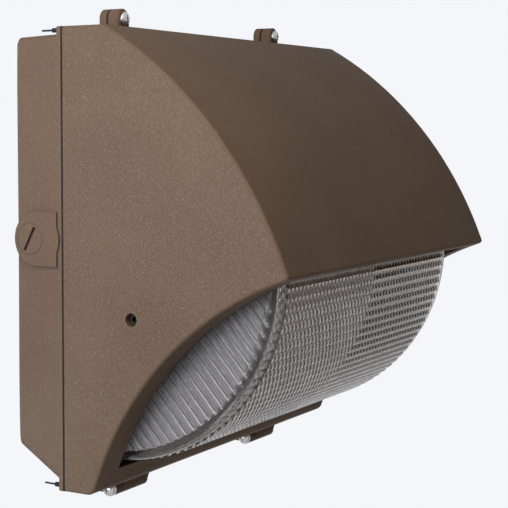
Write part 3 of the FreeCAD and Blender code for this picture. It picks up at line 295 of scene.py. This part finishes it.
def laminated():
    """Varnished sheets stacked from back to front."""
    look = Look("varnished_sheets", (0.06, 0.05, 0.042), 0.45)
    sheets = look.bands("Y", 220.0, 0.3)
    look.drive("Base Color", look.mix(sheets, (0.035, 0.03, 0.026), (0.085, 0.072, 0.06)))
    look.bump(sheets, 0.0002, 0.6)
    return look.material


def woven_sleeve():
    look = Look("woven_sleeve", (0.78, 0.75, 0.68), 0.7)
    weave = look.add("ShaderNodeTexChecker", {"Vector": look.place, "Scale": 1400.0}).outputs["Fac"]
    look.drive("Base Color", look.mix(weave, (0.62, 0.59, 0.52), (0.82, 0.80, 0.74)))
    look.bump(weave, 0.0001, 0.6)
    return look.material


def bright_sheet():
    look = Look("bright_sheet", (0.72, 0.70, 0.68), 0.22, 1.0)
    hammer = look.add("ShaderNodeTexVoronoi", {"Vector": look.place, "Scale": 140.0}).outputs["Distance"]
    look.clouded(12.0, (0.66, 0.63, 0.60), (0.76, 0.74, 0.72))
    look.bump(hammer, 0.0006, 0.5)
    return look.material


FINISH = {
    "bronze_cast": bronze_powder_coat(),
    "dark_gasket": silicone(),
    "pressed_glass": pressed_glass(),
    "clear_glass": blown_glass(),
    "frosted_quartz": quartz(),
    "zinc_steel": plated_metal(),
    # Near black and barely glossy: the screws' dark finish, which also paints the shade of the deep
    # recesses they sit in.
    "dark_screw": grained("dark_screw_and_recess_shade", (0.022, 0.018, 0.015), 0.5, 700.0, 0.0001, shine=0.06),
    "varnished_core": laminated(),
    "coil_wrap": wrapped_coil(),
    "can_aluminium": plated_metal("drawn_aluminium", (0.72, 0.72, 0.73), 0.35),
    "black_plastic": grained("moulded_black", (0.03, 0.03, 0.032), 0.5, 600.0, 0.0001),
    "brass_parts": plated_metal("rolled_brass", (0.78, 0.56, 0.24), 0.3),
    "green_screw": grained("green_paint", (0.04, 0.30, 0.10), 0.4, 500.0, 0.0001),
    "bright_reflector": bright_sheet(),
    "white_porcelain": grained("glazed_porcelain", (0.86, 0.84, 0.78), 0.18, 120.0, 0.0001, contrast=0.92),
    "white_sleeve": woven_sleeve(),
    "dark_wire": plated_metal("nickel_wire", (0.45, 0.43, 0.40), 0.4),
}

# The flutes' glass, with the same painted shade and painted light stripes as the bowl.
FLUTE_GLASS = pressed_glass("flute_glass", (0.86, 0.84, 0.82), (0.92, 0.92, 0.94))


def dress_nodes():
    """Every CAD node gets the finish of its slot in the record."""
    for part in frame["record"]["subparts"]:
        node = NODES[part["node"]]
        node.data.materials.clear()
        node.data.materials.append(FINISH[part["material_slot"]])


# ---------------------------------------------------------------- geometry nodes, written as formulas
class Field:
    """A socket that can be added, multiplied and so on."""

    def __init__(self, net, socket):
        self.net = net
        self.socket = socket

    def __add__(self, other):
        return self.net.math("ADD", self, other)

    def __mul__(self, other):
        return self.net.math("MULTIPLY", self, other)

    def __sub__(self, other):
        return self.net.math("SUBTRACT", self, other)

    def __rsub__(self, other):
        return self.net.math("SUBTRACT", other, self)

    def __truediv__(self, other):
        return self.net.math("DIVIDE", self, other)


class Net:
    """A geometry node tree with named sizes."""

    def __init__(self, name, sizes):
        self.tree = bpy.data.node_groups.new(name, "GeometryNodeTree")
        face = self.tree.interface
        face.new_socket("Geometry", in_out="INPUT", socket_type="NodeSocketGeometry")
        for key, value in sizes.items():
            kind = "NodeSocketInt" if isinstance(value, int) else "NodeSocketFloat"
            face.new_socket(key, in_out="INPUT", socket_type=kind).default_value = value
        face.new_socket("Geometry", in_out="OUTPUT", socket_type="NodeSocketGeometry")
        self.entry = self.tree.nodes.new("NodeGroupInput")

    def size(self, key):
        return Field(self, self.entry.outputs[key])

    def add(self, kind, inputs=None, **settings):
        node = self.tree.nodes.new(kind)
        for key, value in settings.items():
            setattr(node, key, value)
        for key, value in (inputs or {}).items():
            self.put(node.inputs[key], value)
        return node

    def put(self, socket, value):
        if isinstance(value, Field):
            self.tree.links.new(value.socket, socket)
        elif isinstance(value, bpy.types.NodeSocket):
            self.tree.links.new(value, socket)
        else:
            socket.default_value = value

    def math(self, operation, *values):
        node = self.add("ShaderNodeMath", operation=operation)
        for socket, value in zip(node.inputs, values):
            self.put(socket, value)
        return Field(self, node.outputs[0])

    def vector(self, x, y, z):
        return self.add("ShaderNodeCombineXYZ", {"X": x, "Y": y, "Z": z}).outputs[0]

    def block(self, x, y, z):
        return self.add("GeometryNodeMeshCube", {"Size": self.vector(x, y, z)}).outputs[0]

    def choose(self, when, yes, no):
        node = self.add("GeometryNodeSwitch", {"False": no, "True": yes}, input_type="FLOAT")
        self.put(node.inputs["Switch"], when)
        return Field(self, node.outputs[0])

    def larger(self, a, b):
        node = self.add("FunctionNodeCompare", data_type="FLOAT", operation="GREATER_THAN")
        self.put(node.inputs[0], a)
        self.put(node.inputs[1], b)
        return Field(self, node.outputs[0])

    def sheet(self, columns, rows):
        """A grid whose points give u and v from 0 to 1."""
        sizes = {"Size X": 1.0, "Size Y": 1.0, "Vertices X": columns, "Vertices Y": rows}
        grid = self.add("GeometryNodeMeshGrid", sizes)
        split = self.add("ShaderNodeSeparateXYZ", {0: self.add("GeometryNodeInputPosition").outputs[0]})
        return grid.outputs[0], Field(self, split.outputs[0]) + 0.5, Field(self, split.outputs[1]) + 0.5

    def placed(self, mesh, position):
        return self.add("GeometryNodeSetPosition", {"Geometry": mesh, "Position": position}).outputs[0]

    def moved(self, mesh, shift=(0, 0, 0), turn=(0, 0, 0), scale=(1, 1, 1)):
        return self.add("GeometryNodeTransform", {"Geometry": mesh, "Translation": shift, "Rotation": turn,
                                                  "Scale": scale}).outputs[0]

    def joined(self, *meshes):
        node = self.add("GeometryNodeJoinGeometry")
        for mesh in reversed(meshes):
            self.put(node.inputs[0], mesh)
        return node.outputs[0]

    def welded(self, mesh):
        return self.add("GeometryNodeMergeByDistance", {"Geometry": mesh, "Distance": 1e-6}).outputs[0]

    def boolean(self, operation, first, *others):
        node = self.add("GeometryNodeMeshBoolean", operation=operation, solver="EXACT")
        if operation == "DIFFERENCE":
            self.put(node.inputs[0], first)
        else:
            others = (first, *others)
        for mesh in others:
            self.put(node.inputs[1], mesh)
        return node.outputs[0]

    def at_points(self, mesh):
        """The mesh on every point of the input, its Z along the point's aim."""
        aim = self.add("GeometryNodeInputNamedAttribute", {"Name": "aim"}, data_type="FLOAT_VECTOR")
        turn = self.add("FunctionNodeAlignRotationToVector", {"Vector": aim.outputs[0]}, axis="Z")
        put = self.add("GeometryNodeInstanceOnPoints", {"Points": self.entry.outputs["Geometry"],
                                                        "Instance": mesh, "Rotation": turn.outputs[0]})
        return put.outputs[0]

    def end(self, mesh, material, smooth=True):
        real = self.add("GeometryNodeRealizeInstances", {"Geometry": mesh}).outputs[0]
        shaded = self.add("GeometryNodeSetShadeSmooth", {"Geometry": real, "Shade Smooth": smooth})
        finish = {"Geometry": shaded.outputs[0], "Material": material}
        done = self.add("GeometryNodeSetMaterial", finish).outputs[0]
        self.put(self.add("NodeGroupOutput").inputs[0], done)
        return self.tree


def points_mesh(places):
    """A mesh of single points, each with the direction that it aims in."""
    mesh = bpy.data.meshes.new("places")
    mesh.from_pydata([tuple(p) for p, aim in places], [], [])
    aims = mesh.attributes.new("aim", "FLOAT_VECTOR", "POINT")
    for item, (p, aim) in zip(aims.data, places):
        item.vector = aim
    return mesh


def grown(name, tree, mesh=None, sizes=None):
    """The plain mesh that a tree makes from its sizes."""
    seed = bpy.data.objects.new(name + "_seed", mesh or bpy.data.meshes.new(name + "_seed"))
    bpy.context.scene.collection.objects.link(seed)
    modifier = seed.modifiers.new("build", "NODES")
    modifier.node_group = tree
    for item in tree.interface.items_tree:
        if item.item_type == "SOCKET" and item.in_out == "INPUT" and item.name in (sizes or {}):
            modifier[item.identifier] = sizes[item.name]
    graph = bpy.context.evaluated_depsgraph_get()
    made = bpy.data.meshes.new_from_object(seed.evaluated_get(graph), depsgraph=graph)
    bpy.data.objects.remove(seed)
    return added(name, made)


def added(name, mesh):
    """An object at the origin for a mesh."""
    mesh.name = name
    piece = bpy.data.objects.new(name, mesh)
    bpy.context.scene.collection.objects.link(piece)
    return piece


def carried(piece, body, slot, *nodes):
    """The piece rides on a body and stands for CAD nodes, which are hidden; the slot is not used."""
    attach(piece, body)
    if nodes:
        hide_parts(*nodes)
    return piece


def sharpened(piece, angle=35):
    """Keeps hard edges hard on a smooth mesh."""
    piece.data.set_sharp_from_angle(angle=math.radians(angle))
    return piece


# ---------------------------------------------------------------- screws
def screw_head(net):
    """A dome cut off flat below, with a cross recess."""
    radius, height, sides = net.size("Head Radius"), net.size("Head Height"), net.size("Sides")
    wide, deep = net.size("Recess Width"), net.size("Recess Depth")
    disc = net.add("GeometryNodeMeshCylinder", {"Vertices": sides, "Radius": radius, "Depth": height * 2.0})
    ball = net.add("GeometryNodeMeshUVSphere", {"Segments": sides, "Rings": 16, "Radius": 1.0})
    spread = radius * DOME_SPREAD
    dome = net.moved(ball.outputs[0], scale=net.vector(spread, spread, height))
    head = net.boolean("INTERSECT", disc.outputs[0], dome)
    floor = net.block(radius * 3.0, radius * 3.0, height * 3.0)
    head = net.boolean("DIFFERENCE", head, net.moved(floor, net.vector(0.0, 0.0, height * -1.5)))
    bar = net.block(net.size("Recess Reach") * 2.0, wide, deep * 2.0)
    top = net.vector(0.0, 0.0, height)
    head = net.boolean("DIFFERENCE", head, net.moved(bar, top))
    return net.boolean("DIFFERENCE", head, net.moved(bar, top, (0, 0, math.pi / 2)))


def screw_shank(net):
    """A threaded pin that closes to a point at its last row."""
    sheet, u, v = net.sheet(25, 60)
    depth = net.size("Shank Length") * v
    ridge = net.math("PINGPONG", depth / net.size("Pitch") + u, 0.5)
    thread = (0.5 - ridge) * (net.size("Pitch") * 0.8)
    reach = net.choose(net.larger(v, 0.99), 0.0, net.size("Shank Radius") - thread)
    angle = u * (2 * math.pi)
    x, y = reach * net.math("COSINE", angle), reach * net.math("SINE", angle)
    return net.welded(net.placed(sheet, net.vector(x, y, depth * -1.0)))


def screw_tree():
    """A screw on every point of the input."""
    net = Net("screw", {"Head Radius": 0.0042, "Head Height": 0.0028, "Shank Radius": 0.0021,
                        "Shank Length": 0.008, "Pitch": 0.0008, "Recess Reach": 0.0022,
                        "Recess Width": 0.0008, "Recess Depth": 0.0016, "Sides": 32})
    screw = net.joined(screw_head(net), screw_shank(net))
    return net.end(net.at_points(screw), FINISH["zinc_steel"], smooth=False)


def loose_boxes(node):
    """Low and high corner of each loose part of a CAD node, in the order of their first points."""
    work = bmesh.new()
    work.from_mesh(NODES[node].data)
    bmesh.ops.remove_doubles(work, verts=work.verts, dist=1e-7)
    left = set(work.verts)
    boxes = []
    for first in work.verts:
        if first not in left:
            continue
        left.discard(first)
        stack = [first]
        found = []
        while stack:
            vert = stack.pop()
            found.append(vert.co.copy())
            for edge in vert.link_edges:
                other = edge.other_vert(vert)
                if other in left:
                    left.discard(other)
                    stack.append(other)
        boxes.append((Vector(map(min, *found)), Vector(map(max, *found))))
    work.free()
    return boxes


def heads_along(node, aim, head_height):
    """Where the heads of a node's screws stand, for an aim along one of the axes."""
    aim = Vector(aim)
    places = []
    for low, high in loose_boxes(node):
        middle = (low + high) / 2
        half = (high - low) / 2
        reach = abs(half.dot(aim))
        places.append((middle + aim * (reach - head_height), aim))
    return places


def add_screws():
    """Detailed screws in place of the plain ones."""
    tree = screw_tree()
    small = {"Head Radius": 0.0042, "Head Height": 0.0028, "Shank Radius": 0.0021}
    cap = {"Head Radius": 0.00585, "Head Height": 0.004, "Shank Radius": 0.003, "Pitch": 0.00127,
           "Recess Reach": 0.0031, "Recess Width": 0.0011, "Recess Depth": 0.0024}
    pin = {"Head Radius": 0.0052, "Head Height": 0.0042, "Shank Radius": 0.003, "Pitch": 0.00127,
           "Recess Reach": 0.0028, "Recess Width": 0.001, "Recess Depth": 0.0024}
    jobs = [
        ("top_screw_left", "top_screw_left", (0, -1, 0), cap, 0.0174),
        ("top_screw_right", "top_screw_right", (0, -1, 0), cap, 0.0174),
        ("hinge_screws", "door", (-1, 0, 0), pin, 0.0297),
        ("tray_screws", "housing", (0, -1, 0), small, 0.0076),
        ("strap_screws", "housing", (0, -1, 0), small, 0.0058),
        ("reflector_screws", "housing", (0, -1, 0), small, 0.007),
        ("ballast_bolts", "housing", (0, -1, 0), small, 0.0656),
    ]
    for node, body, aim, sizes, length in jobs:
        places = heads_along(node, aim, sizes["Head Height"])
        piece = grown(node + "_made", tree, points_mesh(places), {**sizes, "Shank Length": length})
        carried(sharpened(piece), body, "zinc_steel", node)


# ---------------------------------------------------------------- flutes inside the refractor
def flute_tree():
    """Upright half-round flutes that line the bowl, each a closed bar along its curve."""
    net = Net("bowl_flutes", {"Start": -0.160, "Pitch": WIDE_FLUTE, "Count": 24, "Height": 0.0024,
                              "Share": 0.86, "Inner Radius": GLASS_RADIUS - GLASS_WALL - FLUTE_GAP,
                              "Front": GLASS_FRONT + GLASS_WALL + FLUTE_GAP,
                              "Centre Height": GLASS_MIDDLE[1], "Top": GLASS_TOP - 12 * MM,
                              "Turn": 1.45, "Steps": 40, "End Slope": 60.0})
    sheet, u, v = net.sheet(9, net.size("Steps"))
    radius, middle = net.size("Inner Radius"), net.size("Centre Height")
    straight = net.size("Top") - middle
    run = v * (straight + radius * net.size("Turn"))
    bend = net.math("MAXIMUM", run - straight, 0.0) / radius
    drop = net.math("MINIMUM", run, straight)
    around = u * (2 * math.pi)
    to_end = net.math("MINIMUM", v, 1.0 - v)
    taper = net.math("MINIMUM", to_end * net.size("End Slope"), 1.0)
    across = net.math("COSINE", around) * 0.5 * net.size("Pitch") * net.size("Share") * taper
    inward = net.math("MAXIMUM", net.math("SINE", around), 0.0) * net.size("Height") * taper
    reach = radius - inward
    y = net.size("Front") + radius - reach * net.math("COSINE", bend)
    z = middle + straight - drop - reach * net.math("SINE", bend)
    flute = net.welded(net.placed(sheet, net.vector(across, y, z)))
    start, step = net.vector(net.size("Start"), 0.0, 0.0), net.vector(net.size("Pitch"), 0.0, 0.0)
    places = {"Count": net.size("Count"), "Start Location": start, "Offset": step}
    row = net.add("GeometryNodeMeshLine", places, mode="OFFSET")
    put = net.add("GeometryNodeInstanceOnPoints", {"Points": row.outputs[0], "Instance": flute})
    return net.end(put.outputs[0], FLUTE_GLASS)


def add_flutes():
    """Wider flutes to the left of the middle, narrower ones to the right."""
    tree = flute_tree()
    rows = {"flutes_wide": {"Start": -0.1565, "Pitch": WIDE_FLUTE, "Count": 25},
            "flutes_narrow": {"Start": 0.0050, "Pitch": NARROW_FLUTE, "Count": 33, "Height": 0.0016}}
    for name, sizes in rows.items():
        carried(grown(name, tree, sizes=sizes), "door", "pressed_glass")


# ---------------------------------------------------------------- the lamp
def turned(name, profile, sides=64):
    """A shape turned about the lamp's axis from (x, radius) points.

    They begin and end on the axis, or the last one is the first again.
    """
    work = bmesh.new()
    angles = [2 * math.pi * i / sides for i in range(sides)]
    axis_y, axis_z = LAMP_AXIS
    rings = []
    for x, radius in profile:
        places = [(x, axis_y + radius * math.cos(a), axis_z + radius * math.sin(a)) for a in angles]
        rings.append([work.verts.new(place) for place in places])
    for ring, following in zip(rings, rings[1:]):
        for i in range(sides):
            j = (i + 1) % sides
            work.faces.new((ring[i], ring[j], following[j], following[i]))
    bmesh.ops.remove_doubles(work, verts=work.verts, dist=1e-6)
    bmesh.ops.recalc_face_normals(work, faces=work.faces)
    for face in work.faces:
        face.smooth = True
    mesh = bpy.data.meshes.new(name)
    work.to_mesh(mesh)
    work.free()
    return added(name, mesh)


def bulb_side(shrink):
    """(x, radius) from the neck to the crown of the bulb."""
    neck, belly = BULB_NECK - shrink, BULB_BELLY - shrink
    points = [(BULB_START, neck), (BULB_SHOULDER, neck)]
    for i in range(1, SWELL_STEPS + 1):
        t = i / SWELL_STEPS
        swell = neck + (belly - neck) * math.sin(t * math.pi / 2) ** SWELL_POWER
        points.append((BULB_SHOULDER + (BULB_CROWN - BULB_SHOULDER) * t, min(swell, belly)))
    quarter = [math.pi / 2 * i / CROWN_STEPS for i in range(1, CROWN_STEPS + 1)]
    return points + [(BULB_CROWN + belly * math.sin(a), belly * math.cos(a)) for a in quarter]


def add_bulb():
    outside, inside = bulb_side(0.0), bulb_side(BULB_WALL)
    bulb = turned("blown_bulb", outside + inside[::-1] + outside[:1])
    bulb.data.materials.append(FINISH["clear_glass"])
    carried(bulb, "lamp", "clear_glass", "lamp_envelope")


def base_thread_tree():
    """The rolled brass shell of the lamp's base, its round thread as one sheet."""
    net = Net("lamp_base_thread", {"Radius": 0.0195, "Depth": 0.0011, "Pitch": 0.00635, "Start": -0.174,
                                   "Length": 0.034, "Axis Y": LAMP_AXIS[0], "Axis Z": LAMP_AXIS[1],
                                   "End Slope": 12.0})
    sheet, u, v = net.sheet(49, 97)
    angle = u * (2 * math.pi)
    along = v * net.size("Length")
    wave = net.math("COSINE", (along / net.size("Pitch") - u) * (2 * math.pi)) * 0.5 + 0.5
    to_end = net.math("MINIMUM", v, 1.0 - v)
    fading = net.math("MINIMUM", to_end * net.size("End Slope"), 1.0)
    reach = net.size("Radius") - wave * fading * net.size("Depth")
    y = net.size("Axis Y") + reach * net.math("COSINE", angle)
    z = net.size("Axis Z") + reach * net.math("SINE", angle)
    position = net.vector(along + net.size("Start"), y, z)
    return net.end(net.welded(net.placed(sheet, position)), FINISH["brass_parts"])


def add_lamp_base():
    """The threaded shell, with its skirt, black glass and centre contact."""
    shell = grown("base_shell", base_thread_tree())
    wall = shell.modifiers.new("wall", "SOLIDIFY")
    wall.thickness = 0.0006
    wall.offset = -1.0
    skirt = turned("base_skirt", [(-0.1402, 0.0192), (-0.138, 0.0192), (-0.138, 0.0185), (-0.1402, 0.0185),
                                  (-0.1402, 0.0192)])
    cone = turned("base_glass", [(-0.1762, 0.0), (-0.1762, 0.0095), (-0.1738, 0.0186), (-0.1728, 0.0186),
                                 (-0.1728, 0.0)])
    contact = turned("base_contact", [(-0.178, 0.0), (-0.1779, 0.005), (-0.1772, 0.0076), (-0.1763, 0.008),
                                      (-0.1763, 0.0)])
    for piece, slot in ((skirt, "brass_parts"), (cone, "black_plastic"), (contact, "brass_parts")):
        piece.data.materials.append(FINISH[slot])
    carried(sharpened(skirt), "lamp", "brass_parts", "lamp_base")
    carried(sharpened(cone), "lamp", "black_plastic", "lamp_base")
    carried(sharpened(contact), "lamp", "brass_parts", "lamp_base")
    carried(shell, "lamp", "brass_parts", "lamp_base")


# ---------------------------------------------------------------- stage, light and camera
def shows_background(tree):
    """1 for rays that see the background, 0 for the light that falls on the object."""
    rays = tree.nodes.new("ShaderNodeLightPath").outputs
    found = rays["Is Camera Ray"]
    for kind in ("Is Glossy Ray", "Is Transmission Ray"):
        either = tree.nodes.new("ShaderNodeMath")
        either.operation = "MAXIMUM"
        tree.links.new(found, either.inputs[0])
        tree.links.new(rays[kind], either.inputs[1])
        found = either.outputs[0]
    return found


def pale_floor():
    corners = [(-1, -1), (1, -1), (1, 1), (-1, 1)]
    places = [(x * FLOOR_REACH, y * FLOOR_REACH, FLOOR_HEIGHT) for x, y in corners]
    mesh = bpy.data.meshes.new("floor")
    mesh.from_pydata(places, [], [(0, 1, 2, 3)])
    floor = added("floor", mesh)
    look = Look("pale_floor", SKY, 0.9)
    floor.data.materials.append(look.material)
    glow = look.add("ShaderNodeEmission", {"Color": (*SKY, 1), "Strength": 1.0})
    shares = {0: shows_background(look.tree), 1: look.shader.outputs[0], 2: glow.outputs[0]}
    mixed = look.add("ShaderNodeMixShader", shares)
    look.tree.links.new(mixed.outputs[0], look.tree.nodes["Material Output"].inputs["Surface"])


def soft_sky():
    world = bpy.data.worlds.new("soft_sky")
    bpy.context.scene.world = world
    world.use_nodes = True
    tree = world.node_tree
    level = tree.nodes.new("ShaderNodeMapRange")
    level.inputs["To Min"].default_value = AMBIENT
    level.inputs["To Max"].default_value = 1.0
    tree.links.new(shows_background(tree), level.inputs["Value"])
    back = tree.nodes["Background"]
    back.inputs["Color"].default_value = (*SKY, 1)
    tree.links.new(level.outputs[0], back.inputs["Strength"])


def area_light(name, place, aim, size, power, color):
    lamp = bpy.data.lights.new(name, "AREA")
    lamp.shape = "SQUARE"
    lamp.size = size
    lamp.energy = power
    lamp.color = color
    holder = bpy.data.objects.new(name, lamp)
    bpy.context.scene.collection.objects.link(holder)
    holder.location = place
    holder.rotation_euler = (Vector(aim) - Vector(place)).to_track_quat("-Z", "Y").to_euler()


def add_camera():
    camera = bpy.data.cameras.new("camera")
    camera.lens = CAMERA_LENS
    camera.sensor_width = 36
    camera.shift_y = CAMERA_SHIFT
    camera.clip_end = 60
    holder = bpy.data.objects.new("camera", camera)
    bpy.context.scene.collection.objects.link(holder)
    holder.location = CAMERA_PLACE
    holder.rotation_euler = Vector(CAMERA_AIM).to_track_quat("-Z", "Y").to_euler()
    bpy.context.scene.camera = holder


def studio():
    """A cool key light on the left cheek and a small warm one on the hood's top left."""
    pale_floor()
    soft_sky()
    area_light("key", place=(-1.6, 0.15, 0.25), aim=(-0.2, -0.1, 0), size=0.9, power=31,
               color=(0.86, 0.96, 1.08))
    area_light("top_left", place=(-0.62, -0.42, 0.62), aim=(-0.15, -0.12, 0.05), size=0.3, power=5.6,
               color=(1.0, 0.94, 0.84))
    add_camera()
    bpy.context.scene.view_settings.view_transform = "Standard"


# ---------------------------------------------------------------- all together
dress_nodes()
add_screws()
add_flutes()
add_bulb()
add_lamp_base()
studio()
